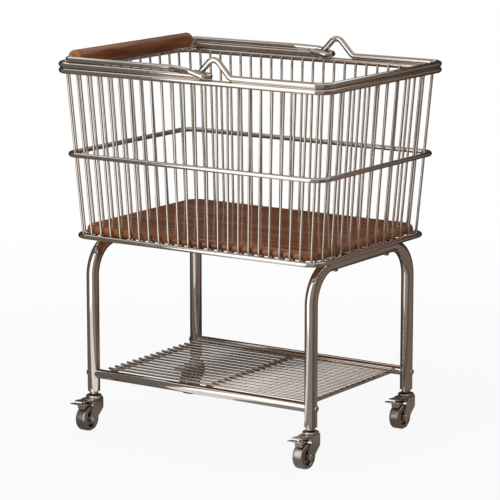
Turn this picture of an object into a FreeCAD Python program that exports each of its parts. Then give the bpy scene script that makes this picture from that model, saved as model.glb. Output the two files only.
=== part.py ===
import FreeCAD, Part
import math
import os

# Rolling laundry basket, in millimetres. +X along the long side, +Y to the back,
# +Z up, origin on the floor under the middle of the basket.

# --- basket ---
rim_length = 634.0
rim_width = 445.0
rim_height = 734.0
base_length = 575.0
base_width = 411.0
base_height = 400.0
mid_height = 565.0
corner_radius = 30.0
rim_rod = 12.0
hoop_rod = 10.0
wire = 5.0
weld = 0.25
hook_bend = 8.0
hook_length = 17.0
hook_contact = 35.0
long_wires = 24
short_wires = 12
long_wire_top_run = 591.0
long_wire_base_run = 541.0
short_wire_top_run = 381.0
short_wire_base_run = 353.5

# --- raised notch in the upper rim for the handle ---
notch_x = 65.0
notch_half = 38.0
notch_rise = 40.3
notch_top_bend = 16.0
notch_foot_bend = 12.0

# --- swinging handle ---
bail_rod = 11.0
bail_gap = 0.4
pivot_x = 51.0
grip_x = -290.0
grip_diameter = 31.0
grip_length = 396.0
grip_running = 0.08
bail_corner = 10.0
hairpin_bend = 8.5
tail_length = 42.0
tail_rise = 5.0

# --- board ---
board_thickness = 18.0
board_side_gap = 1.4
board_corner = 34.0
board_edge = 8.6
insert_radius = 5.0
insert_depth = 12.0

# --- leg frames ---
tube = 25.4
tube_wall = 1.5
leg_x = 261.0
leg_y = 182.0
leg_bend = 70.0
leg_bottom = 77.6
bolt_radius = 3.0
bolt_clear = 0.2

# --- shelf ---
rail_height = 115.0
rail_tube = 19.0
rail_wall = 1.4
plug_length = 25.0
cross_rod = 8.0
cross_rod_x = 236.0
shelf_wire = 5.0
shelf_wire_count = 16
shelf_wire_pitch = 20.6
shelf_wire_overhang = 7.0

# --- casters ---
wheel_radius = 25.5
wheel_width = 24.0
wheel_trail = 24.0
hub_radius = 20.0
running = 0.05
axle_radius = 3.0
fork_width = 32.0
fork_wall = 2.8
crown_top = 63.8
crown_thick = 2.6
cup_radius = 16.5
neck_radius = 4.0
stem_radius = 5.5
stem_top = 107.0
collar_radius = 8.7
socket_top = 109.0
pedal_pin_radius = 2.5
pedal_pin_y = -14.0
pedal_pin_z = 56.0
pedal_boss = 4.4
brake_gap = 3.7
pedal_reach = 58.2

os.makedirs("parts", exist_ok=True)
V = FreeCAD.Vector
X = V(1, 0, 0)
Y = V(0, 1, 0)
Z = V(0, 0, 1)


def save(name, solids):
    shape = solids[0] if len(solids) == 1 else Part.makeCompound(solids)
    shape.exportStep("parts/" + name + ".step")


def one(shape):
    """The single solid in a boolean's result."""
    return shape.Solids[0] if len(shape.Solids) == 1 else shape


def rounded_path(points, radii, closed=False):
    """A wire through the points, with each corner rounded to its radius."""
    n = len(points)
    edges = []
    ends = []
    for i in range(n):
        p = points[i]
        if radii[i] == 0 or (not closed and i in (0, n - 1)):
            ends.append((p, p, None))
            continue
        a = (points[i - 1] - p).normalize()
        b = (points[(i + 1) % n] - p).normalize()
        half = a.getAngle(b) / 2
        reach = radii[i] / math.tan(half)
        mid_line = (a + b).normalize()
        centre = p + mid_line * (radii[i] / math.sin(half))
        ends.append((p + a * reach, p + b * reach, centre - mid_line * radii[i]))
    for i in range(n):
        start, stop, middle = ends[i]
        if middle is not None:
            edges.append(Part.Arc(start, middle, stop).toShape())
        if i < n - 1 or closed:
            following = ends[(i + 1) % n][0]
            if stop.distanceToPoint(following) > 1e-6:
                edges.append(Part.makeLine(stop, following))
    return Part.Wire(edges)


def rod(points, radii, diameter, closed=False):
    """A round bar swept along a rounded path that starts straight."""
    path = rounded_path(points, radii, closed)
    along = points[1] - points[0]
    profile = Part.Wire(Part.makeCircle(diameter / 2, points[0], along))
    return one(path.makePipeShell([profile], True, False))


def cylinder(radius, start, along, length):
    return Part.makeCylinder(radius, length, start, along)


def revolve(profile, at, axis, across):
    """A solid of revolution from (radius, height) points about axis through at."""
    points = [at + across * r + axis * h for r, h in profile]
    face = Part.Face(Part.makePolygon(points + [points[0]]))
    return one(face.revolve(at, axis, 360))


def prism(points, radii, push):
    """A rounded outline pushed into a solid."""
    return Part.Face(rounded_path(points, radii, True)).extrude(push)


def rounded_block(length, width, height, radius, z):
    """A flat block centred on the Z axis with rounded upright corners."""
    a, b = length / 2, width / 2
    corners = [V(-a, -b, z), V(a, -b, z), V(a, b, z), V(-a, b, z)]
    return prism(corners, [radius] * 4, Z * height)


def ring_points(length, width, z):
    a, b = length / 2, width / 2
    return [V(0, -b, z), V(a, -b, z), V(a, b, z), V(-a, b, z), V(-a, -b, z)]


def hoop(length, width, z, diameter):
    points = ring_points(length, width, z)
    return rod(points, [0] + [corner_radius] * 4, diameter, True)


# --- the line of a side wire, seen along its wall: hook, hoops and rim ---
hoop_reach = (hoop_rod + wire) / 2 - weld
rim_reach = (rim_rod + wire) / 2 - weld


def wire_line(base_half, rim_half):
    """Hook bend centre and lean of a wire that touches the base hoop and the rim."""
    angle = math.radians(hook_contact)
    reach = hook_bend + hoop_reach
    centre_n = base_half - reach * math.cos(angle)
    centre_z = base_height + reach * math.sin(angle)
    dn, dz = rim_half - centre_n, rim_height - centre_z
    lean = math.acos((hook_bend + rim_reach) / math.hypot(dn, dz)) - math.atan2(dz, dn)
    return centre_n, centre_z, lean


def wire_at(line, z):
    centre_n, centre_z, lean = line
    return centre_n + hook_bend / math.cos(lean) + (z - centre_z) * math.tan(lean)


def mid_half(line):
    return wire_at(line, mid_height) + hoop_reach / math.cos(line[2])


long_line = wire_line(base_width / 2, rim_width / 2)
short_line = wire_line(base_length / 2, rim_length / 2)
mid_length = 2 * mid_half(short_line)
mid_width = 2 * mid_half(long_line)
hook_z = long_line[1] - hook_bend
board_bottom = hook_z + wire / 2 + 0.05
board_top = board_bottom + board_thickness
run_z = hook_z - wire / 2 - 0.05 - tube / 2


def corner_inset(along, half):
    """How far a hoop has curved in from its side at this distance along it."""
    into = max(0.0, abs(along) - (half - corner_radius))
    return corner_radius - math.sqrt(corner_radius**2 - into**2)


def side_wires(count, top_run, base_run, rim_half, base_half, rim_along, base_along, turn):
    """J-shaped wires of two opposite walls, hooked in under the board."""
    solids = []
    for i in range(count):
        share = i / (count - 1) - 0.5
        top, foot = top_run * share, base_run * share
        base_in = corner_inset(foot, base_along / 2)
        rim_in = corner_inset(top, rim_along / 2)
        line = wire_line(base_half - base_in, rim_half - rim_in)
        corner = wire_at(line, hook_z)
        end_z = rim_height
        for side in (-1, 1):
            flat = [(top, wire_at(line, end_z), end_z), (foot, corner, hook_z)]
            flat.append((foot, corner - hook_length, hook_z))
            points = [turn(a, side * n, z) for a, n, z in flat]
            solids.append(rod(points, [0, hook_bend, 0], wire))
    return solids


save("rim_ring_lower", [hoop(rim_length, rim_width, rim_height, rim_rod)])
save("mid_hoop", [hoop(mid_length, mid_width, mid_height, hoop_rod)])
save("base_hoop", [hoop(base_length, base_width, base_height, hoop_rod)])

# --- upper rim ring: lies on the lower one and rises into a notch on each long side ---
upper_z = rim_height + rim_rod - weld
upper = [V(0, -rim_width / 2, upper_z)]
upper_radii = [0]
foot_in, foot_out = notch_x - notch_half, notch_x + notch_half
top_z = upper_z + notch_rise
front, back = -rim_width / 2, rim_width / 2
upper += [V(foot_in, front, upper_z), V(notch_x, front, top_z), V(foot_out, front, upper_z)]
upper += [V(rim_length / 2, front, upper_z), V(rim_length / 2, back, upper_z)]
upper += [V(foot_out, back, upper_z), V(notch_x, back, top_z), V(foot_in, back, upper_z)]
upper += [V(-rim_length / 2, back, upper_z), V(-rim_length / 2, front, upper_z)]
notch_bends = [notch_foot_bend, notch_top_bend, notch_foot_bend]
upper_radii += notch_bends + [corner_radius] * 2 + notch_bends + [corner_radius] * 2
save("rim_ring_upper", [rod(upper, upper_radii, rim_rod, True)])

save("long_side_wires", side_wires(
    long_wires, long_wire_top_run, long_wire_base_run, rim_width / 2, base_width / 2,
    rim_length, base_length, lambda a, n, z: V(a, n, z)))
save("short_side_wires", side_wires(
    short_wires, short_wire_top_run, short_wire_base_run, rim_length / 2, base_length / 2,
    rim_width, base_width, lambda a, n, z: V(n, a, z)))

# --- handle: one bent rod, hooked through both notches, with a loose grip ---
pivot_z = rim_height + (rim_rod + bail_rod) / 2 + 0.3
rest_z = upper_z + (rim_rod + bail_rod) / 2 + bail_gap
beside = (rim_rod + bail_rod) / 2 + 0.8
half_width = rim_width / 2
tail_x = pivot_x - tail_length


def bail_side(s):
    """Corner points from the tail on the inside of one wall to the grip end."""
    inner, outer = half_width - beside, half_width + beside
    return [
        V(tail_x, s * inner, pivot_z + tail_rise),
        V(pivot_x, s * inner, pivot_z),
        V(pivot_x, s * outer, pivot_z),
        V(pivot_x - 37, s * outer, rest_z - 2.4),
        V(pivot_x - 81, s * half_width, rest_z + 0.2),
        V(grip_x, s * half_width, rest_z),
    ]


bail_radii = [0, hairpin_bend, hairpin_bend, 30, 60, bail_corner]
bail_points = bail_side(-1) + bail_side(1)[::-1]
bail = rod(bail_points, bail_radii + bail_radii[::-1], bail_rod)
save("bail_handle", [bail])

grip_start = V(grip_x, -grip_length / 2, rest_z)
grip = cylinder(grip_diameter / 2, grip_start, Y, grip_length)
grip = grip.makeFillet(5.0, [e for e in grip.Edges if abs(e.Length - math.pi * grip_diameter) < 1])
grip_bore = cylinder(bail_rod / 2 + grip_running, grip_start - Y, Y, grip_length + 2)
save("handle_grip", [one(grip.cut(grip_bore))])

# --- board with threaded inserts over the leg frames ---
inside = wire / 2 / math.cos(short_line[2]) + board_side_gap
board_length = 2 * (wire_at(short_line, board_bottom) - inside)
board_width = 2 * (wire_at(long_line, board_bottom) - inside)
board = rounded_block(board_length, board_width, board_thickness, board_corner, board_bottom)
loops = [e for e in board.Edges if abs(e.BoundBox.ZMax - e.BoundBox.ZMin) < 1e-3]
board = board.makeFillet(board_edge, loops)
board_bolt_y = 3 * short_wire_base_run / (short_wires - 1)
bolt_spots = [V(sx * leg_x, sy * board_bolt_y, 0) for sx in (-1, 1) for sy in (-1, 1)]
inserts = []
spacers = []
board_bolts = []
run_top = run_z + tube / 2
run_bottom = run_z - tube / 2
for spot in bolt_spots:
    low = spot + Z * board_bottom
    board = board.cut(cylinder(insert_radius + 0.1, low, Z, insert_depth + 0.5))
    sleeve = cylinder(insert_radius, low, Z, insert_depth)
    inserts.append(one(sleeve.cut(cylinder(bolt_radius + 0.02, low, Z, insert_depth + 1))))
    seat = spot + Z * (run_top - 3)
    spacer = cylinder(7.0, seat, Z, board_bottom - run_top + 3)
    lying = cylinder(tube / 2 + 0.05, V(spot.x, spot.y - 20, run_z), Y, 40)
    spacer = spacer.cut(lying).cut(cylinder(bolt_radius + bolt_clear, seat, Z, 12))
    spacers.append(one(spacer))
    head = spot + Z * (run_bottom - 3.3)
    bolt = cylinder(6.0, head, Z, 3.2)
    bolt = bolt.makeFillet(1.8, [e for e in bolt.Edges if e.BoundBox.ZMax < head.z + 0.1])
    shank = cylinder(bolt_radius, head, Z, board_bottom + insert_depth - 1 - head.z)
    board_bolts.append(one(bolt.fuse(shank).removeSplitter()))
save("base_board", [one(board)])
save("board_inserts", inserts)
save("board_spacers", spacers)
save("board_bolts", board_bolts)


def leg_frame(side):
    """An upturned U of round tube with holes for the rail and board bolts."""
    x = side * leg_x

    def bar(radius, below):
        points = [V(x, -leg_y, leg_bottom - below), V(x, -leg_y, run_z)]
        points += [V(x, leg_y, run_z), V(x, leg_y, leg_bottom - below)]
        return rod(points, [0, leg_bend, leg_bend, 0], 2 * radius)

    frame = bar(tube / 2, 0).cut(bar(tube / 2 - tube_wall, 5))
    for y in (-leg_y, leg_y):
        hole = cylinder(bolt_radius + bolt_clear, V(x - tube, y, rail_height), X, 2 * tube)
        frame = frame.cut(hole)
    for y in (-board_bolt_y, board_bolt_y):
        hole = cylinder(bolt_radius + bolt_clear, V(x, y, run_z - tube), Z, 2 * tube)
        frame = frame.cut(hole)
    return one(frame)


save("leg_frame_left", [leg_frame(-1)])
save("leg_frame_right", [leg_frame(1)])

# --- shelf: two rails bolted between the legs, cross rods and wires on them ---
plugs = []
rail_bolts = []
for name, y in (("front", -leg_y), ("back", leg_y)):
    start = V(-leg_x, y, rail_height)
    rail = cylinder(rail_tube / 2, start, X, 2 * leg_x)
    rail = rail.cut(cylinder(rail_tube / 2 - rail_wall, start - X, X, 2 * leg_x + 2))
    for side in (-1, 1):
        leg = cylinder(tube / 2 + 0.05, V(side * leg_x, y, rail_height - 40), Z, 80)
        rail = rail.cut(leg)
        wall = V(side * (leg_x - tube / 2 - 0.2), y, rail_height)
        plug = cylinder(rail_tube / 2 - rail_wall - 0.1, wall, X * -side, plug_length)
        plug = plug.cut(cylinder(bolt_radius + 0.02, wall, X * -side, plug_length + 1))
        plugs.append(one(plug))
        outside = V(side * (leg_x + tube / 2 + 0.05), y, rail_height)
        dome = [(0, 4.0), (0, 0), (6, 0), (6, 1.2), (5, 2.8), (2.6, 4.0)]
        head = revolve(dome, outside, X * side, Y)
        shank = cylinder(bolt_radius, outside, X * -side, tube + plug_length - 3)
        rail_bolts.append(one(head.fuse(shank).removeSplitter()))
    save("shelf_rail_" + name, [one(rail)])
save("rail_plugs", plugs)
save("rail_bolts", rail_bolts)

rods = []
for x in (-cross_rod_x, 0, cross_rod_x):
    bar = cylinder(cross_rod / 2, V(x, -leg_y, rail_height), Y, 2 * leg_y)
    for y in (-leg_y, leg_y):
        bar = bar.cut(cylinder(rail_tube / 2 - weld, V(x - 20, y, rail_height), X, 40))
    rods.append(one([s for s in bar.Solids if abs(s.CenterOfMass.y) < 1][0]))
save("shelf_cross_rods", rods)

shelf_wire_z = rail_height + (cross_rod + shelf_wire) / 2 - weld
half_run = cross_rod_x + shelf_wire_overhang
wires = []
for i in range(shelf_wire_count):
    y = (i - (shelf_wire_count - 1) / 2) * shelf_wire_pitch
    wires.append(cylinder(shelf_wire / 2, V(-half_run, y, shelf_wire_z), X, 2 * half_run))
save("shelf_wires", wires)

# --- casters, built about a swivel axis at the origin, then moved under each leg ---
crown_low = crown_top - crown_thick
axle_at = V(0, -wheel_trail, wheel_radius)
boss = 9.0


def caster_stem():
    cup_low = crown_top + 0.3
    outline = [(0, 58.4), (5.6, 58.4), (6.3, 59.1), (6.3, crown_low - 0.3)]
    outline += [(neck_radius, crown_low - 0.3), (neck_radius, cup_low)]
    outline += [(cup_radius, cup_low), (cup_radius, 68.6), (14.6, 70.2), (collar_radius, 71.6)]
    outline += [(collar_radius, leg_bottom - 0.3), (stem_radius, leg_bottom - 0.3)]
    outline += [(stem_radius, stem_top - 1.5), (stem_radius - 1.5, stem_top), (0, stem_top)]
    return revolve(outline, V(0, 0, 0), Z, X)


def leg_socket():
    outer = tube / 2 - tube_wall - 0.1
    bush = cylinder(outer, V(0, 0, leg_bottom), Z, socket_top - leg_bottom)
    bush = bush.makeFillet(2.0, [e for e in bush.Edges if e.BoundBox.ZMin > socket_top - 0.1])
    return one(bush.cut(cylinder(stem_radius + 0.1, V(0, 0, leg_bottom - 1), Z, 50)))


def tangent_point(y, z, side):
    """Where a line from (y, z) touches the round end of the fork about the axle."""
    dy, dz = axle_at.y - y, axle_at.z - z
    far = math.hypot(dy, dz)
    angle = math.atan2(dz, dy) + side * math.asin(boss / far)
    reach = math.sqrt(far**2 - boss**2)
    return y + reach * math.cos(angle), z + reach * math.sin(angle)


def fork():
    rear, front_y = cup_radius - 0.5, -21.0
    shoulder, brow = 48.0, 55.0
    rear_tip = tangent_point(rear, shoulder, 1)
    front_tip = tangent_point(front_y, brow, -1)
    left = -fork_width / 2
    outline = [V(left, *front_tip), V(left, front_y, brow), V(left, front_y, crown_top)]
    outline += [V(left, rear, crown_top), V(left, rear, shoulder), V(left, *rear_tip)]
    path = rounded_path(outline, [0, 6, 0, 0, 10, 0])
    low = V(left, axle_at.y, axle_at.z - boss)
    tip = Part.Arc(V(left, *rear_tip), low, V(left, *front_tip)).toShape()
    body = Part.Face(Part.Wire(path.Edges + [tip])).extrude(X * fork_width)
    half, inner = fork_width / 2, fork_width / 2 - fork_wall
    plan = [V(-half, -60, 0), V(half, -60, 0), V(half, rear, 0), V(-half, rear, 0)]
    body = body.common(prism(plan, [0, 0, 9, 9], Z * 80))
    back = rear - fork_wall
    hollow = [V(-inner, -61, 0), V(inner, -61, 0), V(inner, back, 0), V(-inner, back, 0)]
    body = body.cut(prism(hollow, [0, 0, 9 - fork_wall, 9 - fork_wall], Z * crown_low))
    body = body.cut(cylinder(neck_radius + running, V(0, 0, 50), Z, 30))
    body = body.cut(cylinder(axle_radius + 0.02, axle_at - X * 30, X, 60))
    pin = V(-30, pedal_pin_y, pedal_pin_z)
    body = body.cut(cylinder(pedal_pin_radius + 0.02, pin, X, 60))
    return one(body)


def axle():
    face = fork_width / 2 + 0.05
    shaft = cylinder(axle_radius, axle_at - X * face, X, 2 * face)
    for side in (-1, 1):
        dome = [(0, 3.3), (0, 0), (5.6, 0), (5.4, 1.2), (4.2, 2.5), (2.2, 3.3)]
        shaft = shaft.fuse(revolve(dome, axle_at + X * side * face, X * side, Y))
    return one(shaft.removeSplitter())


def hub():
    half = wheel_width / 2
    bore = axle_radius + running
    outline = [(bore, -half - 0.6), (6.5, -half - 0.6), (8, -4), (15.5, -3), (17, -half + 2)]
    outline += [(18, -half + 0.6), (hub_radius, -half + 0.6)]
    outline += [(r, -h) for r, h in reversed(outline)]
    return revolve(outline, axle_at, X, Y)


def tread():
    half = wheel_width / 2
    inner = hub_radius + 0.02
    outline = [(inner, -half), (22.2, -half), (24.4, -half + 1.6), (wheel_radius, -half + 4.6)]
    outline += [(r, -h) for r, h in reversed(outline)]
    return revolve(outline, axle_at, X, Y)


def pedal():
    """Two-tongued brake lever with a shoe hollowed to follow the wheel."""
    wide = 2 * 17.0
    pin = V(-11.5, pedal_pin_y, pedal_pin_z)
    lever = [V(-17, -14, 53.2), V(-17, -30, 52.6), V(-17, -46, 57.6), V(-17, -pedal_reach, 59.2)]
    lever += [V(-17, -pedal_reach, 61.4), V(-17, -45, 60.0), V(-17, -30, 55.6), V(-17, -14, 57.5)]
    lower = prism(lever, [0, 5, 8, 0.8, 0.8, 8, 5, 0], X * wide)
    plan = [V(-8.5, -13, 40), V(-8.5, -30, 40), V(-17, -52, 40), V(-17, -pedal_reach - 1, 40)]
    plan += [V(17, -pedal_reach - 1, 40), V(17, -52, 40), V(8.5, -30, 40), V(8.5, -13, 40)]
    lower = lower.common(prism(plan, [0, 12, 10, 3, 3, 10, 12, 0], Z * 40))
    tab = [V(-12, -15, 57.2), V(-12, -24, 57.4), V(-12, -30, 63.2), V(-12, -50, 64.0)]
    tab += [V(-12, -50, 66.0), V(-12, -28, 65.2), V(-12, -21.5, 59.8), V(-12, -15, 59.6)]
    upper_tab = prism(tab, [0, 2.5, 3, 0.7, 0.7, 3, 2.5, 0], X * 24)
    tab_plan = [V(-8.5, -13, 40), V(-8.5, -29, 40), V(-12, -42, 40), V(-12, -51, 40)]
    tab_plan += [V(12, -51, 40), V(12, -42, 40), V(8.5, -29, 40), V(8.5, -13, 40)]
    upper_tab = upper_tab.common(prism(tab_plan, [0, 5, 6, 3, 3, 6, 5, 0], Z * 40))
    shoe = [V(-8, -29, 54.5), V(-8, -45, 56.5), V(-8, -43.5, 46.0), V(-8, -36, 46.0)]
    shoe_block = prism(shoe, [0, 0, 2, 0], X * 16)
    body = cylinder(pedal_boss, pin, X, 23).fuse([lower, upper_tab, shoe_block])
    body = body.cut(cylinder(wheel_radius + brake_gap, axle_at - X * 20, X, 40))
    body = body.cut(cylinder(pedal_pin_radius + running, pin - X * 10, X, 60))
    return one(body.removeSplitter())


def pedal_pin():
    half = fork_width / 2 - 0.2
    return cylinder(pedal_pin_radius, V(-half, pedal_pin_y, pedal_pin_z), X, 2 * half)


def placed(shape, corner):
    copy = shape.copy()
    copy.translate(V(corner[0] * leg_x, corner[1] * leg_y, 0))
    return copy


corners = {"fl": (-1, -1), "fr": (1, -1), "bl": (-1, 1), "br": (1, 1)}
save("leg_sockets", [placed(leg_socket(), c) for c in corners.values()])
save("caster_stems", [placed(caster_stem(), c) for c in corners.values()])
pieces = {
    "caster_fork": fork(),
    "caster_axle": axle(),
    "wheel_hub": hub(),
    "wheel_tread": tread(),
    "brake_pedal": pedal(),
    "pedal_pin": pedal_pin(),
}
for label, corner in corners.items():
    for piece, shape in pieces.items():
        save(piece + "_" + label, [placed(shape, corner)])
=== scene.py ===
"""Looks for a rolling wire laundry basket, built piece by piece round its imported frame.

Lengths are metres. +X runs along the long side, +Y to the back and +Z up, with the origin on
the floor under the middle of the basket. Every new piece is a surface worked out on a grid.
"""

import math

import bpy
import numpy as np
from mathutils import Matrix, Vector


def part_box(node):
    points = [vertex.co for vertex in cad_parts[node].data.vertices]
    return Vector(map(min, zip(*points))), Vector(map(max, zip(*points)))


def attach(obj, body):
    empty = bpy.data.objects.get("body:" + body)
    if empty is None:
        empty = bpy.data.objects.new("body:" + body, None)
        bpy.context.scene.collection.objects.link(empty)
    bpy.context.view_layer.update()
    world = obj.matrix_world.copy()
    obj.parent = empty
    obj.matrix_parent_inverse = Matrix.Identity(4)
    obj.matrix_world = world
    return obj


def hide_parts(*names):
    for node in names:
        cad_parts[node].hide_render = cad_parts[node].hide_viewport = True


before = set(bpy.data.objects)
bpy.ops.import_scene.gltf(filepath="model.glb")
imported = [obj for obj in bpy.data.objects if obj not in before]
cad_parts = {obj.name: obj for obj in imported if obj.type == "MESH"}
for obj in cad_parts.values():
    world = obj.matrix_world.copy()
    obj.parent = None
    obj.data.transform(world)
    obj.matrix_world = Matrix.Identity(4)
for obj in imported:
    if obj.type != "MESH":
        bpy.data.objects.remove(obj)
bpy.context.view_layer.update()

bl_info = {
    "name": "Rolling Laundry Basket",
    "version": (1, 0, 0),
    "blender": (4, 5, 0),
    "location": "3D View > Sidebar > Basket",
    "description": "Builds a wire laundry basket on casters, its finishes and its studio",
    "category": "Add Mesh",
}

MM = 0.001
X, Y, Z = np.eye(3)
CORNERS = {"fl": (-1, -1), "fr": (1, -1), "bl": (-1, 1), "br": (1, 1)}


def middle_of(node, axis):
    """Coordinate halfway through a frame node's box."""
    low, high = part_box(node)
    return (low[axis] + high[axis]) / 2


def length_prop(label, note, default):
    return bpy.props.FloatProperty(
        name=label, description=note, default=default, min=0.0, unit="LENGTH", precision=4)


def colour_prop(label, note, default):
    return bpy.props.FloatVectorProperty(
        name=label, description=note, default=default, size=3, min=0.0, max=1.0,
        subtype="COLOR")


def share_prop(label, note, default):
    return bpy.props.FloatProperty(
        name=label, description=note, default=default, min=0.0, max=1.0, subtype="FACTOR")


class BasketSizes(bpy.types.PropertyGroup):
    """Bar thicknesses and counts that the basket's pieces are made from."""

    rim_rod: length_prop("Rim rod", "Thickness of the two rim bars", 12.0 * MM)
    hoop_rod: length_prop("Hoop rod", "Thickness of the middle and base hoops", 10.0 * MM)
    hoop_corner: length_prop("Hoop corner", "Bend radius of each hoop's corners", 30.0 * MM)
    wire: length_prop("Wire", "Thickness of the side and shelf wires", 5.0 * MM)
    hook_bend: length_prop("Hook bend", "Bend radius of a side wire's foot", 8.0 * MM)
    hook_length: length_prop("Hook length", "How far a wire runs in under the board", 17.0 * MM)
    bail_rod: length_prop("Handle rod", "Thickness of the swinging handle's rod", 11.0 * MM)
    grip_edge: length_prop("Grip edge", "Rounding of the grip's ends", 4.6 * MM)
    board_corner: length_prop("Board corner", "Corner radius of the board", 34.0 * MM)
    board_edge: length_prop("Board edge", "Rounding of the board's rim", 8.6 * MM)
    leg_tube: length_prop("Leg tube", "Outside thickness of the leg tubes", 25.4 * MM)
    leg_bend: length_prop("Leg bend", "Bend radius of the leg frames", 70.0 * MM)
    rail_tube: length_prop("Rail tube", "Outside thickness of the shelf rails", 19.0 * MM)
    cross_rod: length_prop("Cross rod", "Thickness of the rods under the shelf wires", 8.0 * MM)
    weld_bead: length_prop("Weld bead", "Half length of the bead at each crossing", 3.4 * MM)
    long_wires: bpy.props.IntProperty(
        name="Long wires", description="Upright wires on each long side", default=24, min=2)
    short_wires: bpy.props.IntProperty(
        name="Short wires", description="Upright wires on each short side", default=12, min=2)
    shelf_wires: bpy.props.IntProperty(
        name="Shelf wires", description="Wires across the shelf", default=16, min=2)


class BasketColours(bpy.types.PropertyGroup):
    """Colours and gloss of the basket's finishes."""

    nickel: colour_prop("Nickel", "Plating on bars, wires and tubes", (0.75, 0.7, 0.66))
    nickel_shade: colour_prop("Nickel shade", "Warm cloud in the plating", (0.6, 0.535, 0.485))
    weld_heat: colour_prop("Weld heat", "Tint beside each weld", (0.36, 0.25, 0.17))
    chrome: colour_prop("Chrome", "Plating on the casters", (0.68, 0.635, 0.6))
    chrome_shade: colour_prop("Chrome shade", "Cloud in the caster plating", (0.4, 0.36, 0.33))
    wheel: colour_prop("Wheel", "Metallic finish of the treads", (0.42, 0.385, 0.36))
    walnut: colour_prop("Walnut", "Light wood of the board", (0.42, 0.15, 0.045))
    walnut_dark: colour_prop("Walnut dark", "Dark wood of the board", (0.17, 0.05, 0.0145))
    grip: colour_prop("Grip", "Light wood of the grip", (0.34, 0.112, 0.03))
    grip_dark: colour_prop("Grip dark", "Dark wood of the grip", (0.13, 0.037, 0.0105))
    plating_gloss: share_prop("Plating roughness", "Least roughness of the plating", 0.08)
    lacquer: share_prop("Lacquer roughness", "Roughness of the board's lacquer", 0.07)


# ---------------------------------------------------------------------------- shapes


def unit(vectors):
    """Vectors scaled to length one along their last axis."""
    return vectors / np.linalg.norm(vectors, axis=-1, keepdims=True)


def rounded_route(corners, radii, closed=False, steps=8):
    """Points along straight runs joined by arcs.

    An arc of radius r touches both runs at r / tan(half the corner's angle) from the corner.
    Its centre lies r / sin(half angle) along the bisector, and it is stepped evenly in angle.
    """
    corners = np.asarray(corners, float)
    count = len(corners)
    runs = []
    for i, (corner, radius) in enumerate(zip(corners, radii)):
        if radius == 0 or (not closed and i in (0, count - 1)):
            runs.append(corner[None])
            continue
        back = unit(corners[i - 1] - corner)
        ahead = unit(corners[(i + 1) % count] - corner)
        half = math.acos(float(np.clip(back @ ahead, -1, 1))) / 2
        inward = unit(back + ahead)
        along = unit(ahead - back)
        centre = corner + inward * (radius / math.sin(half))
        angle = np.linspace(half - math.pi / 2, math.pi / 2 - half, steps + 1)[:, None]
        runs.append(centre + radius * (np.sin(angle) * along - np.cos(angle) * inward))
    return np.concatenate(runs)


def grid_shell(points, closed_rows=False):
    """Vertices and faces of a grid of points, shaped (..., rows, columns, 3).

    Columns always join up round the piece. The first and last rows are each closed by one
    face, or joined to each other when closed_rows is set. The faces are turned round when
    the enclosed volume, the sum of v0 . (v1 x v2) / 6 over the triangles, comes out negative.
    """
    rows, columns = points.shape[-3], points.shape[-2]
    copies = points.reshape(-1, rows * columns, 3)
    i = np.arange(rows if closed_rows else rows - 1)[:, None]
    j = np.arange(columns)[None]
    near, far = i * columns, (i + 1) % rows * columns
    right = (j + 1) % columns
    quads = np.stack([near + j, near + right, far + right, far + j], -1).reshape(-1, 4)
    ring = np.arange(columns)
    caps = [] if closed_rows else [ring[::-1], (rows - 1) * columns + ring]
    v = copies[0]
    halves = np.concatenate([quads[:, :3], quads[:, [0, 2, 3]]])
    fans = [np.stack([np.full(columns - 2, c[0]), c[1:-1], c[2:]], -1) for c in caps]
    thirds = np.concatenate([halves] + fans)
    volume = np.einsum("ij,ij->", v[thirds[:, 0]], np.cross(v[thirds[:, 1]], v[thirds[:, 2]]))
    if volume < 0:
        quads = quads[:, ::-1]
        caps = [c[::-1] for c in caps]
    shift = np.arange(len(copies)) * rows * columns
    faces = (quads[None] + shift[:, None, None]).reshape(-1, 4).tolist()
    for cap in caps:
        faces += (cap[None] + shift[:, None]).tolist()
    return copies.reshape(-1, 3), faces


def bar(routes, diameter, reference, sides=24, closed=False, end=0.25):
    """A round bar along each route, shaped (..., stations, 3).

    A point is route + r (cos a . side + sin a . up), where side = reference x tangent and
    up = tangent x side. The tangent is the mean of the unit steps on both sides. Cut ends
    are eased by a quarter circle of end x r, so that the last ring has radius r (1 - end).
    """
    routes = np.asarray(routes, float)
    radius = diameter / 2
    if closed:
        ahead = unit(np.roll(routes, -1, -2) - routes)
        tangent = unit(ahead + np.roll(ahead, 1, -2))
        radii = np.full(routes.shape[-2], radius)
    else:
        step = unit(np.diff(routes, axis=-2))
        first, last = step[..., :1, :], step[..., -1:, :]
        inner = unit(step[..., 1:, :] + step[..., :-1, :])
        ease = radius * end
        turn = np.linspace(math.pi / 2, 0, 5)[:, None]
        inset = ease * (1 - np.sin(turn))
        start = routes[..., :1, :] + first * inset
        stop = routes[..., -1:, :] - last * inset[::-1]
        routes = np.concatenate([start, routes[..., 1:-1, :], stop], -2)
        count = len(turn)
        tangent = np.concatenate(
            [np.repeat(first, count, -2), inner, np.repeat(last, count, -2)], -2)
        eased = radius - ease * (1 - np.cos(turn[:, 0]))
        radii = np.concatenate([eased, np.full(inner.shape[-2], radius), eased[::-1]])
    side = unit(np.cross(reference, tangent))
    up = np.cross(tangent, side)
    a = np.linspace(0, 2 * math.pi, sides, endpoint=False)[:, None]
    across = np.cos(a) * side[..., None, :] + np.sin(a) * up[..., None, :]
    return grid_shell(routes[..., None, :] + radii[:, None, None] * across, closed)


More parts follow.
